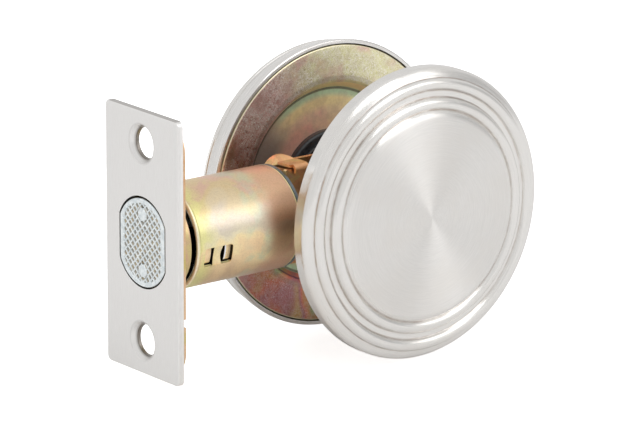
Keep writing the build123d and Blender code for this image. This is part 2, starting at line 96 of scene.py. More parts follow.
def path_points(segs):
    out = []
    for s in segs:
        p = arc3(*s) if len(s) == 3 else [s[0], s[1]]
        out += p if not out else p[1:]
    return out


def soften(pts, sigma, step=0.035, turn=5.0, gap=1.6):
    """Rounds the corners of an open profile with a Gaussian along its length, then keeps
    only the points that its bends need.  Returns points and normals (left of travel)."""
    p = np.array(pts, float)
    seg = np.hypot(*np.diff(p, axis=0).T)
    keep = np.concatenate([[True], seg > 1e-9])
    p = p[keep]
    s = np.concatenate([[0], np.cumsum(np.hypot(*np.diff(p, axis=0).T))])
    n = max(8, int(s[-1] / step))
    t = np.linspace(0, s[-1], n + 1)
    q = np.stack([np.interp(t, s, p[:, 0]), np.interp(t, s, p[:, 1])], 1)
    k = int(4 * sigma / step) + 1
    w = np.exp(-0.5 * (np.arange(-k, k + 1) * step / sigma) ** 2)
    w /= w.sum()
    ext = np.concatenate([2 * q[0] - q[1:k + 1][::-1], q, 2 * q[-1] - q[-k - 1:-1][::-1]])
    q = np.stack([np.convolve(ext[:, i], w, "valid") for i in (0, 1)], 1)
    d = np.gradient(q, axis=0)
    d /= np.maximum(np.hypot(*d.T)[:, None], 1e-12)
    nrm = np.stack([-d[:, 1], d[:, 0]], 1)
    sel, last, acc = [0], 0, 0.0
    for i in range(1, len(q) - 1):
        c = np.clip(np.dot(d[last], d[i]), -1, 1)
        if math.degrees(math.acos(c)) > turn or np.hypot(*(q[i] - q[last])) > gap:
            sel.append(i)
            last = i
    sel.append(len(q) - 1)
    return q[sel], nrm[sel]


def lathe(name, pts, nrm, segs=256, axis="Y", closed=False):
    """Turns a profile of (radius, height) about the spindle axis (Y) or the bolt axis (X)."""
    pts, nrm = np.asarray(pts, float), np.asarray(nrm, float)
    if closed:
        pts, nrm = np.vstack([pts, pts[:1]]), np.vstack([nrm, nrm[:1]])
    m = len(pts)
    th = np.linspace(0, 2 * np.pi, segs + 1)
    c, s = np.cos(th), np.sin(th)
    arc = np.concatenate([[0], np.cumsum(np.hypot(*np.diff(pts, axis=0).T))])
    V, N, U = [], [], []
    for i in range(m):
        r, h = pts[i]
        a, b = nrm[i]
        if axis == "Y":
            V.append(np.stack([BX + r * c, np.full_like(c, h), r * s], 1))
            N.append(np.stack([a * c, np.full_like(c, b), a * s], 1))
        else:
            V.append(np.stack([np.full_like(c, h), r * c, r * s], 1))
            N.append(np.stack([np.full_like(c, b), a * c, a * s], 1))
        U.append(np.stack([th / (2 * np.pi), np.full_like(c, arc[i] * 0.05)], 1))
    V, N, U = np.vstack(V), np.vstack(N), np.vstack(U)
    F = []
    w = segs + 1
    for i in range(m - 1):
        for j in range(segs):
            a = i * w + j
            F.append((a, a + 1, a + 1 + w, a + w))
    return obj_from(name, V, F, N, U)


class Shell:
    """Collects strips and caps with their own normals, so that every edge stays crisp."""

    def __init__(self):
        self.v, self.n, self.f, self.u = [], [], [], []

    def loop(self, pts, nrm, uv):
        base = len(self.v)
        self.v += [tuple(p) for p in pts]
        self.n += [tuple(p) for p in nrm]
        self.u += [tuple(p) for p in uv]
        return base

    def bridge(self, a, b, count, closed=True):
        for i in range(count if closed else count - 1):
            j = (i + 1) % count
            self.f.append((a + i, a + j, b + j, b + i))

    def cap(self, loops, x, sign, uv):
        """Flat face at x, from an outer loop and holes of (y, z) points."""
        tri = tessellate_polygon([[Vector((p[0], p[1], 0)) for p in lp] for lp in loops])
        flat = [p for lp in loops for p in lp]
        base = len(self.v)
        self.v += [(x, p[0], p[1]) for p in flat]
        self.n += [(sign, 0, 0)] * len(flat)
        self.u += [uv(p) for p in flat]
        self.f += [(base + t[0], base + t[1], base + t[2]) for t in tri]

    def build(self, name):
        return obj_from(name, self.v, self.f, self.n, self.u)


def offset_loop(lp, nrm, d):
    return [(p[0] + n[0] * d, p[1] + n[1] * d) for p, n in zip(lp, nrm)]


def loop_normals(lp):
    """Outward 2-D normals of a closed loop (any direction), averaged at each point."""
    n = len(lp)
    area = sum(lp[i][0] * lp[(i + 1) % n][1] - lp[(i + 1) % n][0] * lp[i][1] for i in range(n))
    sg = 1 if area > 0 else -1
    out = []
    for i in range(n):
        a, b, c = lp[i - 1], lp[i], lp[(i + 1) % n]
        e1, e2 = (b[0] - a[0], b[1] - a[1]), (c[0] - b[0], c[1] - b[1])
        l1, l2 = math.hypot(*e1) or 1, math.hypot(*e2) or 1
        nx = e1[1] / l1 + e2[1] / l2
        ny = -e1[0] / l1 - e2[0] / l2
        l = math.hypot(nx, ny) or 1
        out.append((sg * nx / l, sg * ny / l))
    return out


def rounded_rect(w, h, r, n=8):
    pts = []
    for cx, cy, a0 in ((w / 2 - r, h / 2 - r, 0), (-w / 2 + r, h / 2 - r, 90), (-w / 2 + r, -h / 2 + r, 180), (w / 2 - r, -h / 2 + r, 270)):
        for k in range(n + 1):
            a = math.radians(a0 + 90 * k / n)
            pts.append((cx + r * math.cos(a), cy + r * math.sin(a)))
    return pts


def circle(r, y=0.0, z=0.0, n=72):
    return [(y + r * math.cos(2 * math.pi * k / n), z + r * math.sin(2 * math.pi * k / n)) for k in range(n)]


def d_loop(width, arc_r, off, n=28, m=10):
    """Double-D outline in (y, z)."""
    hw = width / 2
    zc = off + math.sqrt(arc_r ** 2 - hw ** 2)
    a0 = math.atan2(zc - off, hw)
    pts = []
    for k in range(n + 1):
        a = a0 + (math.pi - 2 * a0) * k / n
        pts.append((arc_r * math.cos(a), off + arc_r * math.sin(a)))
    for k in range(1, m):
        pts.append((-hw, zc - 2 * zc * k / m))
    for k in range(n + 1):
        a = math.pi + a0 + (math.pi - 2 * a0) * k / n
        pts.append((arc_r * math.cos(a), -off + arc_r * math.sin(a)))
    for k in range(1, m):
        pts.append((hw, -zc + 2 * zc * k / m))
    return pts


# ------------------------------------------------------------------ material helpers
class Mat:
    def __init__(self, name):
        self.m = bpy.data.materials.new(name)
        self.m.use_nodes = True
        self.t = self.m.node_tree
        self.t.nodes.clear()
        self.out = self.t.nodes.new("ShaderNodeOutputMaterial")
        self.b = self.t.nodes.new("ShaderNodeBsdfPrincipled")
        self.t.links.new(self.b.outputs[0], self.out.inputs[0])
        tc = self.t.nodes.new("ShaderNodeTexCoord")
        sc = self.t.nodes.new("ShaderNodeVectorMath")
        sc.operation = "SCALE"
        sc.inputs["Scale"].default_value = 1000.0
        self.t.links.new(tc.outputs["Object"], sc.inputs[0])
        self.p = sc.outputs[0]                      # position in millimetres

    def set(self, **kw):
        for k, v in kw.items():
            self.b.inputs[k.replace("_", " ")].default_value = v

    def link(self, a, b):
        self.t.links.new(a, b)

    def _in(self, node, i, v):
        if isinstance(v, bpy.types.NodeSocket):
            self.t.links.new(v, node.inputs[i])
        elif v is not None:
            node.inputs[i].default_value = v

    def math(self, op, a, b=None, c=None, clamp=False):
        n = self.t.nodes.new("ShaderNodeMath")
        n.operation = op
        n.use_clamp = clamp
        for i, v in enumerate((a, b, c)):
            if v is not None:
                self._in(n, i, v)
        return n.outputs[0]

    def vmath(self, op, a, b=None):
        n = self.t.nodes.new("ShaderNodeVectorMath")
        n.operation = op
        self._in(n, 0, a)
        if b is not None:
            self._in(n, 1, b)
        return n.outputs[0]

    def sep(self, v):
        n = self.t.nodes.new("ShaderNodeSeparateXYZ")
        self._in(n, 0, v)
        return n.outputs[0], n.outputs[1], n.outputs[2]

    def comb(self, x=0.0, y=0.0, z=0.0):
        n = self.t.nodes.new("ShaderNodeCombineXYZ")
        for i, v in enumerate((x, y, z)):
            self._in(n, i, v)
        return n.outputs[0]

    def noise(self, vec, scale=1.0, detail=3.0, rough=0.55, dist=0.0, w=None, color=False):
        n = self.t.nodes.new("ShaderNodeTexNoise")
        if w is not None:
            n.noise_dimensions = "4D"
            n.inputs["W"].default_value = w
        self._in(n, n.inputs.find("Vector"), vec)
        n.inputs["Scale"].default_value = scale
        n.inputs["Detail"].default_value = detail
        n.inputs["Roughness"].default_value = rough
        n.inputs["Distortion"].default_value = dist
        return n.outputs[1] if color else n.outputs[0]

    def ramp(self, fac, stops, interp="LINEAR"):
        n = self.t.nodes.new("ShaderNodeValToRGB")
        n.color_ramp.interpolation = interp
        e = n.color_ramp.elements
        while len(e) < len(stops):
            e.new(0.5)
        for k, (pos, col) in enumerate(stops):
            e[k].position = pos
            e[k].color = (*col, 1.0) if len(col) == 3 else col
        self._in(n, 0, fac)
        return n.outputs[0]

    def maprange(self, v, a, b, c=0.0, d=1.0, smooth=True):
        n = self.t.nodes.new("ShaderNodeMapRange")
        n.interpolation_type = "SMOOTHSTEP" if smooth else "LINEAR"
        self._in(n, 0, v)
        for i, x in zip((1, 2, 3, 4), (a, b, c, d)):
            n.inputs[i].default_value = x
        return n.outputs[0]

    def mix(self, fac, a, b, mode="MIX"):
        n = self.t.nodes.new("ShaderNodeMix")
        n.data_type = "RGBA"
        n.blend_type = mode
        self._in(n, 0, fac)
        for i, v in ((6, a), (7, b)):
            if isinstance(v, bpy.types.NodeSocket):
                self.t.links.new(v, n.inputs[i])
            else:
                n.inputs[i].default_value = (*v, 1.0) if len(v) == 3 else v
        return n.outputs[2]

    def bump(self, height, strength, dist_mm, normal=None):
        n = self.t.nodes.new("ShaderNodeBump")
        n.inputs["Strength"].default_value = strength
        n.inputs["Distance"].default_value = dist_mm * MM
        self._in(n, n.inputs.find("Height"), height)
        if normal is not None:
            self.t.links.new(normal, n.inputs["Normal"])
        return n.outputs[0]

    def polar(self):
        """Radius from the spindle axis in mm, and the unit direction about it."""
        q = self.vmath("SUBTRACT", self.p, (BX, 0.0, 0.0))
        x, y, z = self.sep(q)
        r = self.math("SQRT", self.math("ADD", self.math("MULTIPLY", x, x), self.math("MULTIPLY", z, z)))
        rr = self.math("MAXIMUM", r, 0.001)
        return r, self.math("DIVIDE", x, rr), self.math("DIVIDE", z, rr), y

    def tangent_uv(self):
        n = self.t.nodes.new("ShaderNodeTangent")
        n.direction_type = "UV_MAP"
        n.uv_map = "UVMap"
        self.link(n.outputs[0], self.b.inputs["Tangent"])

    def done(self):
        return self.m


def srgb(r, g, b):
    def f(c):
        c /= 255.0
        return c / 12.92 if c <= 0.04045 else ((c + 0.055) / 1.055) ** 2.4
    return (f(r), f(g), f(b))


# ------------------------------------------------------------------ materials
def mat_spun_nickel(name, tint=(0.775, 0.755, 0.73), aniso=0.86, rough=0.40):
    """Satin nickel, brushed on a lathe: every hair runs round the spindle axis."""
    m = Mat(name)
    r, dx, dz, y = m.polar()
    fine = m.noise(m.comb(m.math("MULTIPLY", dx, 2.2), m.math("MULTIPLY", dz, 2.2), m.math("MULTIPLY", r, 5.0)), 1.0, 4.0, 0.7)
    hair = m.noise(m.comb(m.math("MULTIPLY", dx, 6.0), m.math("MULTIPLY", dz, 6.0), m.math("MULTIPLY", r, 22.0)), 1.0, 2.0, 0.6)
    cloud = m.noise(m.p, 0.10, 3.0, 0.6)
    v = m.math("ADD", m.math("MULTIPLY", fine, 0.5), m.math("MULTIPLY", hair, 0.5))
    lo, hi = tuple(c * 0.94 for c in tint), tuple(min(1.0, c * 1.05) for c in tint)
    col = m.mix(m.maprange(v, 0.36, 0.64), lo, hi)
    col = m.mix(m.maprange(cloud, 0.35, 0.7, 0.0, 0.4), col, tuple(c * s for c, s in zip(tint, (0.97, 0.95, 0.925))))
    # painted shade: patchy dark brown lines along the creases beside the raised rings
    face = m.maprange(m.math("ABSOLUTE", y), 17.9, 18.4)
    crease_shade = None
    for rc in (29.85, 27.1, 25.85, 23.15):
        k = m.maprange(m.math("ABSOLUTE", m.math("SUBTRACT", r, rc)), 0.03, 0.20, 1.0, 0.0)
        crease_shade = k if crease_shade is None else m.math("MAXIMUM", crease_shade, k)
    patchy = m.maprange(m.noise(m.p, 0.35, 3.0, 0.6), 0.3, 0.62, 0.35, 1.0)
    col = m.mix(m.math("MULTIPLY", m.math("MULTIPLY", crease_shade, face), m.math("MULTIPLY", patchy, 0.5)), col, (0.36, 0.27, 0.21))
    m.link(col, m.b.inputs["Base Color"])
    m.set(Metallic=1.0, Anisotropic=aniso, Anisotropic_Rotation=0.25)
    rg = m.math("ADD", m.maprange(v, 0.3, 0.7, -0.05, 0.06, False), m.maprange(r, 21.0, 23.0, rough, 0.24))
    m.link(rg, m.b.inputs["Roughness"])
    m.tangent_uv()
    m.link(m.bump(v, 0.30, 0.005), m.b.inputs["Normal"])
    return m.done()


def mat_brushed_plate(name):
    m = Mat(name)
    x, y, z = m.sep(m.p)
    fine = m.noise(m.comb(m.math("MULTIPLY", x, 3.0), m.math("MULTIPLY", y, 9.0), m.math("MULTIPLY", z, 0.22)), 1.0, 4.0, 0.7)
    hair = m.noise(m.comb(m.math("MULTIPLY", x, 3.0), m.math("MULTIPLY", y, 30.0), m.math("MULTIPLY", z, 0.6)), 1.0, 2.0, 0.6)
    v = m.math("ADD", m.math("MULTIPLY", fine, 0.5), m.math("MULTIPLY", hair, 0.5))
    col = m.mix(m.maprange(v, 0.35, 0.65), (0.765, 0.745, 0.725), (0.835, 0.82, 0.80))
    # painted shade: the screw holes' bores, the roots and rims of their countersinks and the plate's top edge are
    # darkened
    front = m.math("LESS_THAN", x, 3.0)
    q = m.math("SUBTRACT", m.math("ABSOLUTE", z), 21.43)
    rh = m.math("SQRT", m.math("ADD", m.math("MULTIPLY", y, y), m.math("MULTIPLY", q, q)))
    near_hole = m.math("LESS_THAN", rh, 3.9)
    bore = m.math("MULTIPLY", m.maprange(x, 0.95, 1.15), near_hole)
    root = m.math("MULTIPLY", m.maprange(rh, 3.75, 3.4), m.maprange(x, 0.5, 0.9))
    hole_edge_shade = m.math("MAXIMUM", m.math("MULTIPLY", bore, 0.85), m.math("MULTIPLY", root, 0.45))
    hole_edge_shade = m.math("MAXIMUM", hole_edge_shade, m.math("MULTIPLY", m.maprange(z, 28.42, 28.54), 0.5))
    rim = m.math("MULTIPLY", m.maprange(m.math("ABSOLUTE", m.math("SUBTRACT", rh, 4.3)), 0.05, 0.40, 1.0, 0.0), m.maprange(x, 0.2, 0.02, 0.0, 1.0))
    hole_edge_shade = m.math("MAXIMUM", hole_edge_shade, m.math("MULTIPLY", rim, 0.16))
    col = m.mix(m.math("MULTIPLY", hole_edge_shade, front), col, (0.17, 0.145, 0.12))
    m.link(col, m.b.inputs["Base Color"])
    m.set(Metallic=1.0, Anisotropic=0.7, Anisotropic_Rotation=0.25)
    m.link(m.maprange(v, 0.3, 0.7, 0.32, 0.42, False), m.b.inputs["Roughness"])
    m.tangent_uv()
    m.link(m.bump(v, 0.35, 0.006), m.b.inputs["Normal"])
    return m.done()


TAN, OLIVE, PINK, GREEN = srgb(206, 182, 140), srgb(196, 184, 128), srgb(222, 178, 156), srgb(176, 190, 130)
RUST, BROWN, GOLD, PALE, TEAL, ROSE = (srgb(176, 118, 92), srgb(132, 108, 84), srgb(214, 186, 112), srgb(236, 226, 200),
                                       srgb(150, 190, 170), srgb(206, 140, 130))


def chromate(name, stops, scale=0.09, rough=0.34, grain=0.5, offset=0.0):
    """Yellow chromate on zinc: colour drifts with the film's thickness, over a fine satin grain."""
    m = Mat(name)
    film = m.noise(m.p, scale, 3.0, 0.5, 0.6, w=offset)
    col = m.ramp(film, stops, "EASE")
    speck = m.noise(m.p, 3.2, 3.0, 0.6)
    col = m.mix(m.maprange(speck, 0.42, 0.62, 0.0, 0.30), col, m.mix(0.5, col, (0.30, 0.25, 0.19)))
    m.link(col, m.b.inputs["Base Color"])
    m.set(Metallic=1.0)
    m.link(m.maprange(speck, 0.3, 0.7, rough - 0.05, rough + 0.08, False), m.b.inputs["Roughness"])
    m.link(m.bump(m.noise(m.p, 5.5, 3.0, 0.6), grain, 0.012), m.b.inputs["Normal"])
    return m


def mat_tube():
    """The round tube: a smooth tan film, a little greener in front and pinker behind, with a painted highlight in its
    colour.
    """
    m = Mat("chromate_tube")
    x, y, z = m.sep(m.p)
    # film colour with a painted highlight: the colour runs with height, palest a little below the tube's middle and
    # dimmer above it
    film = m.noise(m.p, 0.12, 3.0, 0.5, 0.5, w=2.3)
    drift = m.math("MULTIPLY", m.math("SUBTRACT", film, 0.5), 0.9)
    h = m.math("ADD", m.maprange(z, -11.2, 11.2, 0.0, 1.0, False), drift)
    col = m.ramp(h, [(0.02, srgb(204, 190, 162)), (0.16, srgb(226, 196, 158)), (0.28, srgb(242, 214, 170)), (0.40, srgb(246, 226, 178)),
                     (0.50, srgb(236, 224, 192)), (0.58, srgb(222, 211, 188)), (0.68, srgb(218, 206, 190)), (0.80, srgb(228, 209, 174)), (0.91, srgb(226, 202, 158)),
                     (1.0, srgb(226, 190, 166))], "EASE")
    # thin places in the film: yellow-green towards the front, blue-green and pink further back
    spots = m.noise(m.p, 0.20, 3.0, 0.5, 0.6, w=8.0)
    front = m.math("MULTIPLY", m.maprange(x, 12.5, 8), m.maprange(spots, 0.32, 0.52))
    col = m.mix(m.math("MULTIPLY", front, 0.8), col, srgb(230, 226, 152))
    back = m.math("MULTIPLY", m.math("MULTIPLY", m.maprange(x, 18, 21), m.maprange(x, 28, 25)), m.maprange(spots, 0.42, 0.60))
    col = m.mix(m.math("MULTIPLY", back, 0.45), col, srgb(196, 212, 188))
    warm = m.math("MULTIPLY", m.maprange(x, 18, 30), m.maprange(m.noise(m.p, 0.16, 3.0, 0.5, 0.4, w=13.0), 0.38, 0.54))
    col = m.mix(m.math("MULTIPLY", warm, 0.6), col, srgb(232, 176, 150))
    col = m.mix(m.math("MULTIPLY", m.maprange(x, 24.5, 28), 0.65), col, srgb(224, 180, 146))
    # painted highlight: the rounded front lip is made near white
    lip_highlight = m.maprange(x, 7.0, 6.3)
    col = m.mix(m.math("MULTIPLY", lip_highlight, 0.85), col, srgb(252, 240, 222))
    speck = m.noise(m.p, 2.9, 4.0, 0.66)
    col = m.mix(m.maprange(speck, 0.40, 0.66, 0.0, 0.30), col, m.mix(0.5, col, srgb(150, 124, 92)))
    # painted highlight: pale yellow on the cut faces at the foot of each window and on the yellow rear rim
    rr = m.math("SQRT", m.math("ADD", m.math("MULTIPLY", y, y), m.math("MULTIPLY", z, z)))
    az = m.math("ABSOLUTE", z)
    cut = m.math("MULTIPLY", m.math("LESS_THAN", rr, 10.97), m.math("MULTIPLY", m.math("GREATER_THAN", az, 4.28), m.math("LESS_THAN", az, 4.46)))
    cut = m.math("MULTIPLY", cut, m.math("MULTIPLY", m.math("GREATER_THAN", x, 8.2), m.math("LESS_THAN", x, 15.7)))
    cut = m.math("MAXIMUM", cut, m.math("MULTIPLY", m.maprange(x, 33.0, 33.15), 0.8))
    col = m.mix(cut, col, srgb(255, 246, 186))
    # painted shadow: the rear end walls of the windows and the bridge's front wall are painted near black
    low = m.math("MULTIPLY", m.math("LESS_THAN", rr, 11.08), m.math("MULTIPLY", m.math("LESS_THAN", az, 4.38), m.math("GREATER_THAN", az, 0.32)))
    wall = m.math("MAXIMUM", m.math("GREATER_THAN", m.math("MULTIPLY", x, m.math("LESS_THAN", x, 15.58)), 15.50),
                  m.math("MULTIPLY", m.math("GREATER_THAN", x, 10.74), m.math("LESS_THAN", x, 10.79)))
    col = m.mix(m.math("MULTIPLY", low, wall), col, (0.02, 0.016, 0.012))
    m.link(col, m.b.inputs["Base Color"])
    # the painted highlight on the cut faces and rear rim also makes them non-metallic
    m.link(m.math("MULTIPLY_ADD", cut, -0.95, 1.0), m.b.inputs["Metallic"])
    m.link(m.maprange(speck, 0.3, 0.7, 0.31, 0.42, False), m.b.inputs["Roughness"])
    m.link(m.bump(m.noise(m.p, 6.0, 3.0, 0.6), 0.5, 0.012), m.b.inputs["Normal"])
    return m.done()


def mat_mount_plate():
    """Pressed plate: pink-brown flat ring, greener at its top, and a tan to green dish."""
    m = Mat("chromate_plate")
    r, dx, dz, y = m.polar()
    film = m.noise(m.p, 0.085, 3.0, 0.5, 0.8, w=5.1)
    ring = m.ramp(film, [(0.32, srgb(210, 164, 156)), (0.44, srgb(226, 178, 170)), (0.54, srgb(236, 192, 184)),
                         (0.64, srgb(224, 190, 166)), (0.76, srgb(232, 178, 176))], "EASE")
    wild = m.noise(m.p, 0.13, 3.0, 0.5, w=4.0)
    high = m.math("MULTIPLY", m.maprange(m.math("ADD", dz, m.math("MULTIPLY", dx, 0.25)), 0.66, 0.96), m.maprange(wild, 0.32, 0.50))
    ring = m.mix(m.math("MULTIPLY", high, 0.95), ring, srgb(230, 228, 170))
    low = m.maprange(dz, -0.35, -0.75)
    patch = m.noise(m.p, 0.105, 1.5, 0.45, 0.7, w=11.0)
    ring = m.mix(m.math("MULTIPLY", low, 0.9), ring, m.ramp(patch, [
        (0.36, srgb(118, 146, 88)), (0.44, srgb(196, 136, 84)), (0.51, srgb(204, 108, 84)), (0.58, srgb(168, 100, 110)),
        (0.68, srgb(196, 158, 98))], "EASE"))
    f2 = m.math("ADD", film, m.maprange(r, 13, 21, -0.05, 0.05, False))
    dish = m.ramp(f2, [(0.34, srgb(240, 186, 166)), (0.44, srgb(238, 202, 170)), (0.54, srgb(240, 214, 172)),
                       (0.64, srgb(244, 208, 182)), (0.76, srgb(232, 214, 164))], "EASE")
    # thin green and blue at the dish's upper edge, fading to gold and pink further in
    edge = m.maprange(m.math("ABSOLUTE", dz), 0.62, 0.90)
    dish = m.mix(m.math("MULTIPLY", m.math("MULTIPLY", edge, m.maprange(r, 15.5, 18.0)), 0.7), dish, srgb(250, 232, 160))
    dish = m.mix(m.math("MULTIPLY", m.math("MULTIPLY", edge, m.maprange(r, 18.4, 20.0)), 0.85), dish, srgb(176, 214, 176))
    blush = m.math("MULTIPLY", m.maprange(r, 16.5, 13.5), m.maprange(dx, -0.2, -0.6))
    dish = m.mix(m.math("MULTIPLY", blush, 0.7), dish, srgb(246, 176, 160))
    # painted shade: the dish darkens towards its left side
    dish = m.mix(m.math("MULTIPLY", m.maprange(dx, -0.50, -0.88), m.maprange(r, 12.5, 17.0)), dish, srgb(146, 134, 124))
    col = m.mix(m.maprange(r, 20.9, 21.1), dish, ring)
    # fine curling rub marks of the plating barrel
    rub = m.noise(m.p, 0.75, 5.0, 0.72, 1.8, w=1.0)
    line = None
    for sc, dist, w, wide in ((0.50, 2.4, 1.0, 0.020), (0.75, 2.0, 6.0, 0.022), (1.10, 1.6, 9.5, 0.026)):
        nz = m.noise(m.p, sc, 2.5, 0.55, dist, w=w)
        k = m.maprange(m.math("ABSOLUTE", m.math("SUBTRACT", nz, 0.5)), 0.0, wide, 1.0, 0.0)
        line = k if line is None else m.math("MAXIMUM", line, k)
    flat = m.math("MULTIPLY", m.maprange(r, 22.6, 23.2, 0.10, 1.0), m.maprange(wild, 0.36, 0.54, 0.4, 1.0))
    flat = m.math("MULTIPLY", flat, m.maprange(dz, -0.5, -0.2, 0.35, 1.0))
    line = m.math("MULTIPLY", line, flat)
    soil = m.maprange(m.noise(m.p, 0.7, 4.0, 0.65, w=21.0), 0.35, 0.65, 0.15, 0.55)
    col = m.mix(soil, col, m.mix(0.62, col, srgb(150, 118, 106)))
    col = m.mix(m.math("MULTIPLY", line, 0.95), col, srgb(255, 250, 244))
    # the step round the dish: a painted shadow at its root, a painted highlight on its gold face along the upper side,
    # painted shade in a purple line along the lower side, and a duller band outside it
    def band(a, b, soft=0.12):
        return m.math("MULTIPLY", m.maprange(r, a - soft, a + soft), m.maprange(r, b - soft, b + soft, 1.0, 0.0))
    col = m.mix(m.math("MULTIPLY", band(20.45, 20.95), 0.75), col, srgb(92, 78, 62))
    col = m.mix(m.math("MULTIPLY", m.math("MULTIPLY", band(21.1, 22.3), m.maprange(dz, -0.3, 0.1)), 0.8), col, srgb(255, 226, 178))
    col = m.mix(m.math("MULTIPLY", m.math("MULTIPLY", band(21.85, 22.15), m.maprange(dz, 0.0, -0.4)), 0.85), col, srgb(96, 70, 96))
    col = m.mix(m.math("MULTIPLY", band(22.9, 23.9, 0.25), 0.35), col, srgb(150, 132, 118))
    # painted highlight: a pale band on the plate's outer rounded edge
    col = m.mix(m.maprange(r, 30.35, 30.55), col, srgb(240, 232, 200))
    m.link(col, m.b.inputs["Base Color"])
    m.link(m.maprange(r, 20.6, 22.2, 0.50, 1.0), m.b.inputs["Metallic"])
    rg = m.math("ADD", m.maprange(rub, 0.3, 0.7, -0.05, 0.07, False), m.maprange(r, 20.6, 22.2, 0.38, 0.29))
    m.link(m.math("ADD", rg, m.math("MULTIPLY", line, 0.25)), m.b.inputs["Roughness"])
    m.link(m.bump(m.math("ADD", m.noise(m.p, 4.0, 3.0, 0.6), m.math("MULTIPLY", line, 0.6)), 0.35, 0.012), m.b.inputs["Normal"])
    return m.done()


def mat_cheek():
    """Liners inside the tube: tan pads, with painted shadow in near black towards their edges and two painted highlight
    streaks.
    """
    m = chromate("chromate_cheek", [(0.35, srgb(244, 214, 164)), (0.5, srgb(252, 224, 176)), (0.65, srgb(244, 208, 168))], 0.3, 0.4, 0.4, 17.0)
    x, y, z = m.sep(m.p)
    old = m.b.inputs["Base Color"].links[0].from_socket
    # painted shadow: near black past the window ends, towards the pads' upper and lower edges and in the slot under the
    # bridge, fully metallic there
    k = m.math("MAXIMUM", m.maprange(x, 15.9, 16.0), m.maprange(x, 8.6, 8.2))
    k = m.math("MAXIMUM", k, m.maprange(m.math("ABSOLUTE", z), 3.8, 3.95))
    k = m.math("MAXIMUM", k, m.math("MULTIPLY", m.maprange(x, 10.9, 11.05), m.maprange(x, 14.15, 14.05)))
    m.link(m.math("MULTIPLY_ADD", k, 0.7, 0.3), m.b.inputs["Metallic"])
    # painted highlight: two near-white streaks beside the slot under the bridge
    cheek_edge_highlight = m.math("MULTIPLY", m.maprange(x, 14.05, 14.12), m.maprange(x, 14.48, 14.38))
    cheek_edge_highlight = m.math("MAXIMUM", cheek_edge_highlight, m.math("MULTIPLY", m.maprange(x, 10.45, 10.52), m.maprange(x, 10.9, 10.8)))
    m.link(m.mix(k, m.mix(cheek_edge_highlight, old, srgb(250, 250, 255)), (0.012, 0.010, 0.008)), m.b.inputs["Base Color"])
    return m.done()


def mat_zinc(name, base=(0.66, 0.70, 0.74), rough=0.32):
    m = Mat(name)
    a = m.noise(m.p, 1.1, 4.0, 0.6)
    b = m.noise(m.p, 9.0, 3.0, 0.6)
    col = m.mix(m.maprange(a, 0.35, 0.65), tuple(c * 0.85 for c in base), tuple(min(1, c * 1.08) for c in base))
    m.link(col, m.b.inputs["Base Color"])
    m.set(Metallic=1.0)
    m.link(m.maprange(a, 0.3, 0.7, rough - 0.06, rough + 0.08, False), m.b.inputs["Roughness"])
    m.link(m.bump(b, 0.4, 0.01), m.b.inputs["Normal"])
    return m.done()


def mat_bolt():
    m = Mat("zinc_bolt")
    x, y, z = m.sep(m.p)
    a = m.noise(m.p, 0.9, 4.0, 0.6)
    base = m.mix(m.maprange(a, 0.35, 0.65), srgb(210, 217, 219), srgb(236, 240, 240))
    # the cross-hatch's pits keep a tan film; the ridges are rubbed bright
    depth = m.maprange(x, 0.14, 0.36)
    face = m.math("LESS_THAN", x, 1.0)
    pit = m.ramp(m.noise(m.p, 0.7, 2.0, 0.5), [(0.35, srgb(168, 146, 110)), (0.5, srgb(132, 128, 120)), (0.65, srgb(172, 154, 118))])
    col = m.mix(m.math("MULTIPLY", m.math("MULTIPLY", depth, face), 0.9), base, pit)
    m.link(col, m.b.inputs["Base Color"])
    m.set(Metallic=1.0)
    m.link(m.maprange(a, 0.3, 0.7, 0.26, 0.38, False), m.b.inputs["Roughness"])
    m.link(m.bump(m.noise(m.p, 7.0, 3.0, 0.6), 0.35, 0.01), m.b.inputs["Normal"])
    return m.done()


def mat_steel(name, base=(0.50, 0.50, 0.50), rough=0.36):
    m = Mat(name)
    a = m.noise(m.vmath("MULTIPLY", m.p, (0.4, 3.0, 3.0)), 1.0, 4.0, 0.6)
    col = m.mix(m.maprange(a, 0.35, 0.65), tuple(c * 0.8 for c in base), tuple(c * 1.12 for c in base))
    m.link(col, m.b.inputs["Base Color"])
    m.set(Metallic=1.0)
    m.link(m.maprange(a, 0.3, 0.7, rough - 0.07, rough + 0.08, False), m.b.inputs["Roughness"])
    m.link(m.bump(a, 0.3, 0.01), m.b.inputs["Normal"])
    return m.done()


def mat_grip(name):
    """Satin nickel on the thumbturn: short straight hairs along its height."""
    m = Mat(name)
    x, y, z = m.sep(m.p)
    hair = m.noise(m.comb(m.math("MULTIPLY", x, 9.0), m.math("MULTIPLY", y, 9.0), m.math("MULTIPLY", z, 0.5)), 1.0, 4.0, 0.6)
    cloud = m.noise(m.p, 0.10, 3.0, 0.6)
    col = m.mix(m.maprange(hair, 0.35, 0.65), (0.735, 0.715, 0.69), (0.80, 0.78, 0.755))
    col = m.mix(m.maprange(cloud, 0.35, 0.7, 0.0, 0.4), col, (0.745, 0.715, 0.68))
    m.link(col, m.b.inputs["Base Color"])
    m.set(Metallic=1.0)
    m.link(m.maprange(hair, 0.3, 0.7, 0.30, 0.40, False), m.b.inputs["Roughness"])
    m.link(m.bump(hair, 0.2, 0.004), m.b.inputs["Normal"])
    return m.done()


def mat_black_plastic():
    m = Mat("black_plastic")
    a = m.noise(m.p, 2.2, 4.0, 0.6)
    col = m.mix(m.maprange(a, 0.35, 0.65), (0.012, 0.013, 0.015), (0.030, 0.032, 0.035))
    m.link(col, m.b.inputs["Base Color"])
    m.link(m.maprange(a, 0.3, 0.7, 0.30, 0.46, False), m.b.inputs["Roughness"])
    m.link(m.bump(m.noise(m.p, 8.0, 3.0, 0.6), 0.3, 0.01), m.b.inputs["Normal"])
    return m.done()


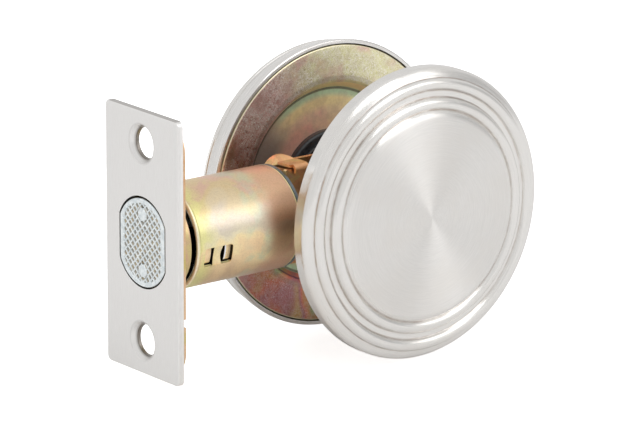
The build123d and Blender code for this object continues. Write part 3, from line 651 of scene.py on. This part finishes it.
M_COVER = mat_spun_nickel("satin_nickel_spun")
M_PLATE = mat_brushed_plate("satin_nickel_brushed")
M_TUBE = mat_tube()
M_MOUNT = mat_mount_plate()
M_BOLT = mat_bolt()
M_ZINC = mat_zinc("zinc_clear")
M_CAP = mat_zinc("zinc_blue", (0.20, 0.23, 0.25), 0.36)
M_STEEL = mat_steel("plain_steel")
M_SPRING = mat_steel("spring_steel", (0.36, 0.37, 0.39), 0.28)
M_TURN = mat_grip("satin_nickel_grip")
M_BLACK = mat_black_plastic()
M_CARR = chromate("chromate_carrier", [(0.30, srgb(196, 150, 116)), (0.42, srgb(222, 166, 120)), (0.50, srgb(236, 178, 128)),
                                      (0.58, srgb(230, 194, 136)), (0.70, srgb(222, 176, 158))], 0.20, 0.32, 0.5, 3.0).done()
M_INNER = mat_zinc("zinc_dull", (0.78, 0.77, 0.75), 0.42)
M_COLLAR = chromate("chromate_collar", [(0.35, srgb(190, 176, 116)), (0.5, srgb(206, 186, 132)), (0.65, srgb(206, 170, 140))],
                    0.12, 0.32, 0.5, 7.0).done()
M_CHEEK = mat_cheek()
M_BACK = chromate("chromate_backing", [(0.35, srgb(206, 156, 110)), (0.5, srgb(222, 186, 150)), (0.65, srgb(206, 186, 120))],
                  0.12, 0.34, 0.5, 9.0).done()


def paint(o, mat):
    o.data.materials.clear()
    o.data.materials.append(mat)
    for p in o.data.polygons:
        p.material_index = 0


# ------------------------------------------------------------------ round plates
def ringed_profile(wall, y0, face, k, hole):
    """The outer line of a ringed plate, door edge to middle, and the inner line back."""
    T, C = 0.9, 0.35
    outer = path_points([[wall[i], wall[i + 1]] for i in range(len(wall) - 1)] + [
        [wall[-1], (30.75, 18.95 + k), (29.8, 19.25 + k)],
        [(29.8, 19.25 + k), (29.35, 20.12 + k), (28.5, 20.4 + k)],
        [(28.5, 20.4 + k), (27.65, 20.15 + k), (27.2, 19.6 + k)],
        [(27.2, 19.6 + k), (25.78, 19.72 + k)],
        [(25.78, 19.72 + k), (25.35, 20.75 + k), (24.5, 21.12 + k)],
        [(24.5, 21.12 + k), (23.65, 20.95 + k), (23.2, 20.45 + k)],
        [(23.2, 20.45 + k), (22.4, 21.25 + k), (20.9, face - C)],
    ] + ([[(20.9, face - C), (16.5, face - 0.42 * C), (12.0, face)], [(12.0, face), (hole, face)]] if hole > 1 else
         [[(20.9, face - C), (12.0, face - 0.31 * C), (2.0, face)], [(2.0, face), (hole, face)]]))
    inner = [(hole, face - T), (12.0, face - T), (20.6, face - T - C), (22.6, 20.05 + k), (23.4, 19.75 + k), (24.9, 20.1 + k), (25.3, 18.85 + k),
             (27.5, 18.75 + k), (28.6, 19.4 + k), (29.3, 18.45 + k), (30.2, 18.1 + k)]
    inner += [(r - T, y) for r, y in reversed(wall[1:-1])] + [(wall[0][0] - T, y0)]
    return outer, inner


def ringed_plate(name, wall, y0, face, k, hole, side):
    outer, inner = ringed_profile(wall, y0, face, k, hole)
    edge = [(wall[0][0] - 0.9, y0), (wall[0][0] - 0.25, y0)]
    line = edge + [(wall[0][0], y0 + 0.25)] + outer[1:]
    po, no = soften(line, 0.085)
    if side < 0:
        po = po * [1, -1]
        no = no * [1, -1]
    # left of travel while running outwards along the edge and up the wall: test one point
    i = int(np.argmax(po[:, 0]))
    if no[i, 0] < 0:
        no = -no
    o = lathe(name, po, no, 288)
    pi, ni = soften(inner, 0.12, 0.06, 8.0)
    if side < 0:
        pi, ni = pi * [1, -1], ni * [1, -1]
    j = int(np.argmax(pi[:, 0]))
    if ni[j, 0] > 0:
        ni = -ni
    o2 = lathe(name + "_in", pi, ni, 160)
    parts = [o, o2]
    if hole > 0.5:
        q = [(hole, side * face), (hole, side * (face - 0.9))]
        parts.append(lathe(name + "_bore", q, [(-1, 0), (-1, 0)], 96))
    return join(name, parts)


def join(name, parts):
    bpy.ops.object.select_all(action="DESELECT")
    for p in parts:
        p.select_set(True)
    bpy.context.view_layer.objects.active = parts[0]
    bpy.ops.object.join()
    o = bpy.context.view_layer.objects.active
    o.name = name
    o.data.name = name
    return o


cover_wall = [(31.93, 15.05), (31.93, 17.75), (31.62, 18.3)]
cover = ringed_plate("street_cover", cover_wall, 15.05, 22.0, 0.0, 0.02, -1)
paint(cover, M_COVER)
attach(cover, "lock_body")
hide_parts("cover_plate")

rose_wall = [(31.85, 12.94), (31.55, 15.0), (31.05, 16.6), (30.5, 17.85)]
rose = ringed_plate("room_rose", rose_wall, 12.94, 21.7, -0.3, 6.1, 1)
paint(rose, M_COVER)
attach(rose, "lock_body")
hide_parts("rose")

# ------------------------------------------------------------------ faceplate
T = 1.5
S = Shell()
uvf = lambda p: (p[1] * 0.05, p[0] * 0.05)
outer = rounded_rect(25.4, 57.15, 1.2)
on = loop_normals(outer)
dl = [(p[0] - 0.1, p[1] + 0.1) for p in d_loop(16.3, 8.97, 1.0)]
dn = loop_normals(dl)
R0, R1 = 0.32, 0.12
front_outer = offset_loop(outer, on, -R0)
front_d = offset_loop(dl, dn, R1)
sink, sink_n = soften([(4.75, 0.0), (4.25, 0.0), (3.3, 1.2), (3.3, 1.95)], 0.14, 0.02, 7.0)
if sink_n[0, 1] > 0:
    sink_n = -sink_n
holes_f = [circle(4.75, 0, s * 21.43) for s in (-1, 1)]
holes_b = [circle(4.25, 0, s * 21.43) for s in (-1, 1)]
S.cap([front_outer, front_d] + holes_f, 0.0, -1, uvf)
# rounded outer edge, wall, small rear edge
prev = None
steps = [(R0 * (1 - math.sin(a)), R0 * (1 - math.cos(a)), -math.cos(a), math.sin(a)) for a in np.linspace(0, math.pi / 2, 8)]
steps += [(0.0, T - 0.08, 0.0, 1.0), (0.08, T, 1.0, 0.0)]
for inset, x, nx, nr in steps:
    lp = offset_loop(outer, on, -inset)
    b = S.loop([(x, p[0], p[1]) for p in lp], [(nx, n[0] * nr, n[1] * nr) for n in on], [uvf(p) for p in lp])
    if prev is not None:
        S.bridge(prev, b, len(lp))
    prev = b
prev = None
steps = [(R1 * (1 - math.sin(a)), R1 * (1 - math.cos(a)), -math.cos(a), -math.sin(a)) for a in np.linspace(0, math.pi / 2, 5)] + [(0.0, T, 0.0, -1.0)]
for inset, x, nx, nr in steps:
    lp = offset_loop(dl, dn, inset)
    b = S.loop([(x, p[0], p[1]) for p in lp], [(nx, n[0] * nr, n[1] * nr) for n in dn], [uvf(p) for p in lp])
    if prev is not None:
        S.bridge(prev, b, len(lp))
    prev = b
for s in (-1, 1):
    ring = [(r, x, nx, nr) for (r, x), (nr, nx) in zip(sink.tolist(), sink_n.tolist())]
    ring += [(3.3, 1.95, 1.0, 0.0), (4.17, 1.95, 1.0, 0.0), (4.25, 1.87, 0.3, 0.95), (4.25, T, 0.0, 1.0)]
    prev = None
    for r, x, nx, nr in ring:
        lp = circle(r, 0, s * 21.43)
        nn = circle(1.0, 0, 0)
        b = S.loop([(x, p[0], p[1]) for p in lp], [(nx, n[0] * nr, n[1] * nr) for n in nn], [uvf(p) for p in lp])
        if prev is not None:
            S.bridge(prev, b, len(lp))
        prev = b
S.cap([offset_loop(outer, on, -0.08), dl] + holes_b, T, 1, uvf)
plate = S.build("front_plate")
paint(plate, M_PLATE)
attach(plate, "lock_body")
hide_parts("faceplate")


# ------------------------------------------------------------------ bolt with its cross-hatched nose
def d_distance(y, z, width, arc_r, off):
    """Signed distance to the double-D outline, negative inside (good near the outline)."""
    flat = np.abs(y) - width / 2
    top = np.hypot(y, np.abs(z) - off) - arc_r
    return np.maximum(flat, np.where(np.abs(z) > off, top, flat))


X0, BW, BR, NR = 0.0, 15.5, 8.6, 0.35      # nose plane, width, arc radius, edge radius
pitch = 0.08
gy = np.arange(-7.76, 7.76 + 1e-6, pitch)
gz = np.arange(-9.68, 9.68 + 1e-6, pitch)
Y, Z = np.meshgrid(gy, gz, indexing="ij")
D = d_distance(Y, Z, BW, BR, 1.0)
inside = D <= 0
# pull the outside corners of cut cells onto the outline
Yp, Zp = Y.copy(), Z.copy()
for _ in range(4):
    e = 1e-3
    d0 = d_distance(Yp, Zp, BW, BR, 1.0)
    dy = (d_distance(Yp + e, Zp, BW, BR, 1.0) - d0) / e
    dz = (d_distance(Yp, Zp + e, BW, BR, 1.0) - d0) / e
    g = np.maximum(np.hypot(dy, dz), 1e-6) ** 2
    out = d0 > 0
    Yp = np.where(out, Yp - d0 * dy / g, Yp)
    Zp = np.where(out, Zp - d0 * dz / g, Zp)


def nose_height(y, z):
    """Distance behind the bolt's foremost plane, in mm."""
    d = d_distance(y, z, BW, BR, 1.0)
    h = np.zeros_like(d)
    # rounded outer edge
    R = NR
    t = np.clip((R + d) / R, 0, 1)
    h += R - np.sqrt(np.maximum(R * R - (t * R) ** 2, 0))
    # recessed field with crossed ridges
    f = d_distance(y, z, 13.0, 7.5, 1.0)
    inside_f = 1 / (1 + np.exp(np.clip(f / 0.055, -40, 40)))
    P = 1.72 / math.sqrt(2)
    wob = 0.05 * np.sin(y * 1.9 + 0.7 * z) + 0.04 * np.sin(z * 2.3 - 0.5 * y)
    a = (y + z) / math.sqrt(2) + wob
    b = (y - z) / math.sqrt(2) - wob
    ra = np.abs((a / P) % 1.0 - 0.5) * 2        # 1 on a ridge, 0 mid pit
    rb = np.abs((b / P) % 1.0 - 0.5) * 2
    ridge = np.clip((np.maximum(ra, rb) - 0.50) / 0.34, 0, 1)
    ridge = ridge * ridge * (3 - 2 * ridge)
    floor = 0.08 + 0.27 * (1 - ridge)
    boss = np.minimum(np.hypot(y, z - 6.1), np.hypot(y, z + 6.1)) - 1.4
    boss_in = 1 / (1 + np.exp(np.clip(boss / 0.07, -40, 40)))
    ring = np.exp(-((boss - 0.28) / 0.16) ** 2)
    floor = floor + 0.16 * ring
    floor = floor * (1 - boss_in) + 0.05 * boss_in
    return h + inside_f * floor


H = nose_height(Yp, Zp)
idx = -np.ones(Y.shape, int)
cells = []
ny_, nz_ = Y.shape
cell_in = inside[:-1, :-1] | inside[1:, :-1] | inside[:-1, 1:] | inside[1:, 1:]
use = np.zeros(Y.shape, bool)
use[:-1, :-1] |= cell_in
use[1:, :-1] |= cell_in
use[:-1, 1:] |= cell_in
use[1:, 1:] |= cell_in
idx[use] = np.arange(use.sum())
verts = np.stack([X0 + H[use], Yp[use], Zp[use]], 1)
e = 0.01
hy = (nose_height(Yp + e, Zp) - nose_height(Yp - e, Zp)) / (2 * e)
hz = (nose_height(Yp, Zp + e) - nose_height(Yp, Zp - e)) / (2 * e)
norms = np.stack([-np.ones(use.sum()), hy[use], hz[use]], 1)
ii, jj = np.nonzero(cell_in)
faces = np.stack([idx[ii, jj], idx[ii + 1, jj], idx[ii + 1, jj + 1], idx[ii, jj + 1]], 1).tolist()
nose = obj_from("bolt_nose", verts, faces, norms, np.stack([Zp[use] * 0.05, Yp[use] * 0.05], 1))

S = Shell()
dl = d_loop(BW, BR, 1.0, 40, 16)
dn = loop_normals(dl)
prev = None
for inset, x, nx, nr in [(0.0, X0 + NR, 0.0, 1.0), (0.0, 32.4, 0.0, 1.0), (0.4, 32.8, 0.7, 0.7)]:
    lp = offset_loop(dl, dn, -inset)
    b = S.loop([(x, p[0], p[1]) for p in lp], [(nx, n[0] * nr, n[1] * nr) for n in dn], [(x * 0.05, p[1] * 0.05) for p in lp])
    if prev is not None:
        S.bridge(prev, b, len(lp))
    prev = b
S.cap([offset_loop(dl, dn, -0.4)], 32.8, 1, uvf)
bar = S.build("bolt_bar")
bolt = join("bolt_body_piece", [nose, bar])
paint(bolt, M_BOLT)
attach(bolt, "bolt_body")
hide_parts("bolt")

# ------------------------------------------------------------------ tube with lanced windows
TR, TB = 11.2, 10.2


def solid_box(name, x0, x1, y0, y1, z0, z1, r=0.0, seg=5):
    """Cutter: a box along Y whose XZ outline has rounded corners."""
    n = seg
    pts = []
    for cx, cz, a0 in ((x1 - r, z1 - r, 0), (x0 + r, z1 - r, 90), (x0 + r, z0 + r, 180), (x1 - r, z0 + r, 270)):
        for k in range(n + 1):
            a = math.radians(a0 + 90 * k / n)
            pts.append((cx + r * math.cos(a), cz + r * math.sin(a)))
    m = len(pts)
    v = [(p[0], y0, p[1]) for p in pts] + [(p[0], y1, p[1]) for p in pts]
    f = [tuple(range(m)), tuple(range(2 * m - 1, m - 1, -1))] + [(i, m + i, m + (i + 1) % m, (i + 1) % m) for i in range(m)]
    me = bpy.data.meshes.new(name)
    me.from_pydata((np.array(v) * MM).tolist(), [], f)
    me.update()
    o = bpy.data.objects.new(name, me)
    scene.collection.objects.link(o)
    return o


def tube_mesh():
    prof = [(TR, 7.2)] + [(TR, x) for x in np.linspace(8, 33.2, 14)]
    prof += [(TR - 0.3 * (1 - math.cos(a)), 33.2 + 0.3 * math.sin(a)) for a in np.linspace(0, math.pi / 2, 7)[1:]] + [(TB + 0.06, 33.5), (TB, 33.4)]
    prof += [(TB, x) for x in np.linspace(32, 7.4, 12)] + [(TB, 6.9)]
    prof += arc3((TB, 6.9), (10.62, 6.22), (TR, 7.2), 18)[1:-1]
    segs = 224
    th = np.linspace(0, 2 * np.pi, segs, endpoint=False)
    V = []
    for r, x in prof:
        V.append(np.stack([np.full_like(th, x), r * np.cos(th), r * np.sin(th)], 1))
    V = np.vstack(V)
    m = len(prof)
    F = []
    for i in range(m):
        for j in range(segs):
            a, b = i * segs + j, i * segs + (j + 1) % segs
            c, d = ((i + 1) % m) * segs + (j + 1) % segs, ((i + 1) % m) * segs + j
            F.append((a, b, c, d))
    me = bpy.data.meshes.new("tube_skin")
    me.from_pydata((V * MM).tolist(), [], F)
    me.update()
    o = bpy.data.objects.new("tube_skin", me)
    scene.collection.objects.link(o)
    import bmesh
    bm = bmesh.new()
    bm.from_mesh(me)
    bmesh.ops.recalc_face_normals(bm, faces=bm.faces)
    bm.to_mesh(me)
    bm.free()
    return o


A0, A1 = math.radians(-24.0), math.radians(-1.5)
zlo, zhi = TR * math.sin(A0) + 0.15, TR * math.sin(A1)
tube = tube_mesh()
cutters = [solid_box("cut_a", 8.3, 15.55, -13, -8, zlo, zhi, 0.55), solid_box("cut_b", 8.3, 15.55, 8, 13, -zhi, -zlo, 0.55)]
for c in cutters:
    md = tube.modifiers.new("cut", "BOOLEAN")
    md.operation = "DIFFERENCE"
    md.solver = "EXACT"
    md.object = c
    bpy.context.view_layer.objects.active = tube
    bpy.ops.object.modifier_apply(modifier=md.name)
for c in cutters:
    bpy.data.objects.remove(c)


def bridge_strip(name, flip):
    """Strip between the two windows, arched inwards, 1 mm thick with rounded long edges."""
    n = 26
    V, F = [], []
    sec = [(10.75, 0.12), (10.87, 0.0), (13.08, 0.0), (13.2, 0.12), (13.2, 0.9), (10.75, 0.9)]
    a_lo, a_hi = math.asin(zlo / TR) - 0.02, math.asin(zhi / TR) + 0.02
    for k in range(n + 1):
        t = k / n
        a = a_lo + (a_hi - a_lo) * t
        dip = 0.45 * math.sin(math.pi * t) ** 0.8 if 0 < t < 1 else 0.0
        for x, d in sec:
            x -= 0.5 * math.sin(math.pi * t) * (x > 12)
            r = TR - 0.01 - d - dip
            y, z = -r * math.cos(a), r * math.sin(a)
            V.append((x, -y, -z) if flip else (x, y, z))
    m = len(sec)
    for k in range(n):
        for i in range(m):
            j = (i + 1) % m
            F.append((k * m + i, k * m + j, (k + 1) * m + j, (k + 1) * m + i))
    F += [tuple(range(m)), tuple(range(n * m + m - 1, n * m - 1, -1))]
    me = bpy.data.meshes.new(name)
    me.from_pydata((np.array(V) * MM).tolist(), [], F)
    me.update()
    o = bpy.data.objects.new(name, me)
    scene.collection.objects.link(o)
    import bmesh
    bm = bmesh.new()
    bm.from_mesh(me)
    bmesh.ops.recalc_face_normals(bm, faces=bm.faces)
    bm.to_mesh(me)
    bm.free()
    return o


tube = join("bolt_tube_piece", [tube, bridge_strip("br1", False), bridge_strip("br2", True)])
tube.data.polygons.foreach_set("use_smooth", [True] * len(tube.data.polygons))
tube.data.set_sharp_from_angle(angle=math.radians(32))
paint(tube, M_TUBE)
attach(tube, "lock_body")
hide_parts("bolt_tube")

# ------------------------------------------------------------------ plate inside the rose
M0, DISH = 12.90, 15.0
line = path_points([
    [(11.3, DISH), (20.9, DISH)],
    [(20.9, DISH), (22.4, M0 + 0.25)],
    [(22.4, M0 + 0.25), (22.72, M0 + 0.06), (23.1, M0)],
    [(23.1, M0), (30.35, M0)],
    [(30.35, M0), (30.56, M0 + 0.09), (30.65, M0 + 0.3)],
    [(30.65, M0 + 0.3), (30.65, 14.95)],
])
pp, pn = soften(line, 0.07)
if pn[len(pn) // 2, 1] > 0:
    pn = -pn
dish = lathe("mount_plate_piece", pp, pn, 288)
paint(dish, M_MOUNT)
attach(dish, "lock_body")
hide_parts("mounting_plate")

# ------------------------------------------------------------------ materials of the CAD nodes that stay
N = frame["nodes"]
for name, mat in {
    "backing_plate": M_BACK, "neck_collar": M_COLLAR, "guide_cheeks": M_CHEEK, "tube_end_cap": M_CAP,
    "carrier_plate_near": M_CARR, "carrier_plate_far": M_CARR, "spacer_rivets": M_STEEL, "detent_spring": M_SPRING,
    "hardened_pin": M_STEEL, "bolt_tail": M_STEEL, "tail_rivet": M_STEEL, "crank_hub": M_STEEL, "crank_pin": M_STEEL,
    "tailpiece": M_STEEL, "thumbturn": M_TURN, "retaining_ring": M_SPRING, "spring_washer": M_SPRING,
    "spindle_bushing": M_BLACK, "mounting_screws": M_ZINC, "cover_mount_plate": M_INNER, "cover_posts": M_ZINC,
}.items():
    paint(N[name], mat)

# ------------------------------------------------------------------ stage: floor, light, camera
fl = bpy.data.meshes.new("floor")
fl.from_pydata([(-40, -40, -0.0335), (40, -40, -0.0335), (40, 40, -0.0335), (-40, 40, -0.0335)], [], [(0, 1, 2, 3)])
floor = bpy.data.objects.new("floor", fl)
scene.collection.objects.link(floor)
fm = bpy.data.materials.new("floor_white")
fm.use_nodes = True
ft = fm.node_tree
fb = ft.nodes["Principled BSDF"]
fb.inputs["Base Color"].default_value = (0.94, 0.94, 0.94, 1)
fb.inputs["Roughness"].default_value = 0.9
fb.inputs["Specular IOR Level"].default_value = 0.1
fb.inputs["Emission Color"].default_value = (1, 1, 1, 1)
# a little greyer where it lights the metal than where it is seen
fp, fs = ft.nodes.new("ShaderNodeLightPath"), ft.nodes.new("ShaderNodeMapRange")
fs.inputs[3].default_value, fs.inputs[4].default_value = 0.0, 0.68
ft.links.new(fp.outputs["Is Camera Ray"], fs.inputs[0])
ft.links.new(fs.outputs[0], fb.inputs["Emission Strength"])
fl.materials.append(fm)

# a white room: plain white behind the part, a little dimmer where it lights it
world = bpy.data.worlds.new("studio")
world.use_nodes = True
wt = world.node_tree
wt.nodes.clear()
wo = wt.nodes.new("ShaderNodeOutputWorld")
w_seen, w_light, w_mix, w_path = (wt.nodes.new(k) for k in ("ShaderNodeBackground", "ShaderNodeBackground", "ShaderNodeMixShader", "ShaderNodeLightPath"))
w_seen.inputs[0].default_value = (1.0, 1.0, 1.0, 1)
w_seen.inputs[1].default_value = 1.05
w_light.inputs[0].default_value = (0.99, 0.995, 1.0, 1)
# the dark end of the room, where nobody put a light
w_dir, w_dot, w_map = (wt.nodes.new(k) for k in ("ShaderNodeTexCoord", "ShaderNodeVectorMath", "ShaderNodeMapRange"))
w_dot.operation = "DOT_PRODUCT"
w_dot.inputs[1].default_value = Vector((0.90, -0.44, 0.10)).normalized()
w_map.interpolation_type = "SMOOTHSTEP"
for i, x in zip((1, 2, 3, 4), (0.86, 0.98, 0.87, 0.58)):
    w_map.inputs[i].default_value = x
wt.links.new(w_dir.outputs["Generated"], w_dot.inputs[0])
wt.links.new(w_dot.outputs["Value"], w_map.inputs[0])
wt.links.new(w_map.outputs[0], w_light.inputs[1])
wt.links.new(w_path.outputs["Is Camera Ray"], w_mix.inputs[0])
wt.links.new(w_light.outputs[0], w_mix.inputs[1])
wt.links.new(w_seen.outputs[0], w_mix.inputs[2])
wt.links.new(w_mix.outputs[0], wo.inputs[0])
scene.world = world


def area(name, direction, dist, size, power, target=(0.045, 0.0, 0.0), size_y=None, color=(1, 1, 1)):
    d = Vector(direction).normalized()
    li = bpy.data.lights.new(name, "AREA")
    li.shape = "RECTANGLE"
    li.size, li.size_y = size, size_y or size
    li.energy = power
    li.color = color
    o = bpy.data.objects.new(name, li)
    scene.collection.objects.link(o)
    o.location = Vector(target) + d * dist
    o.rotation_mode = "QUATERNION"
    o.rotation_quaternion = (-d).to_track_quat("-Z", "Y")
    return o


area("key_top", (0.12, -0.60, 0.77), 1.6, 0.8, 4.0)
area("fill_right", (0.48, -0.72, 0.48), 1.8, 0.9, 3.4)
area("fill_left", (-0.85, 0.50, 0.15), 1.8, 1.0, 2.0)

cam_d = bpy.data.cameras.new("cam")
cam = bpy.data.objects.new("cam", cam_d)
scene.collection.objects.link(cam)
scene.camera = cam
AZ, EL, ROLL = math.radians(-38.03), math.radians(15.84), math.radians(0.12)
back = Vector((math.sin(AZ) * math.cos(EL), -math.cos(AZ) * math.cos(EL), math.sin(EL)))
right = Vector((math.cos(AZ), math.sin(AZ), 0.0))
up = back.cross(right)
r2 = right * math.cos(ROLL) + up * math.sin(ROLL)
u2 = -right * math.sin(ROLL) + up * math.cos(ROLL)
rot = Matrix((r2, u2, back)).transposed()
cam.matrix_world = Matrix.Translation(Vector((-620.88, -854.24, 305.91)) * MM) @ rot.to_4x4()
cam_d.sensor_width = 36.0
cam_d.sensor_fit = "HORIZONTAL"
cam_d.lens = 5260.15 / 640 * 36.0
cam_d.clip_start, cam_d.clip_end = 0.05, 100.0

scene.view_settings.view_transform = "Standard"
scene.view_settings.look = "None"
scene.view_settings.exposure = 0.0
scene.view_settings.gamma = 1.0

bpy.context.view_layer.update()
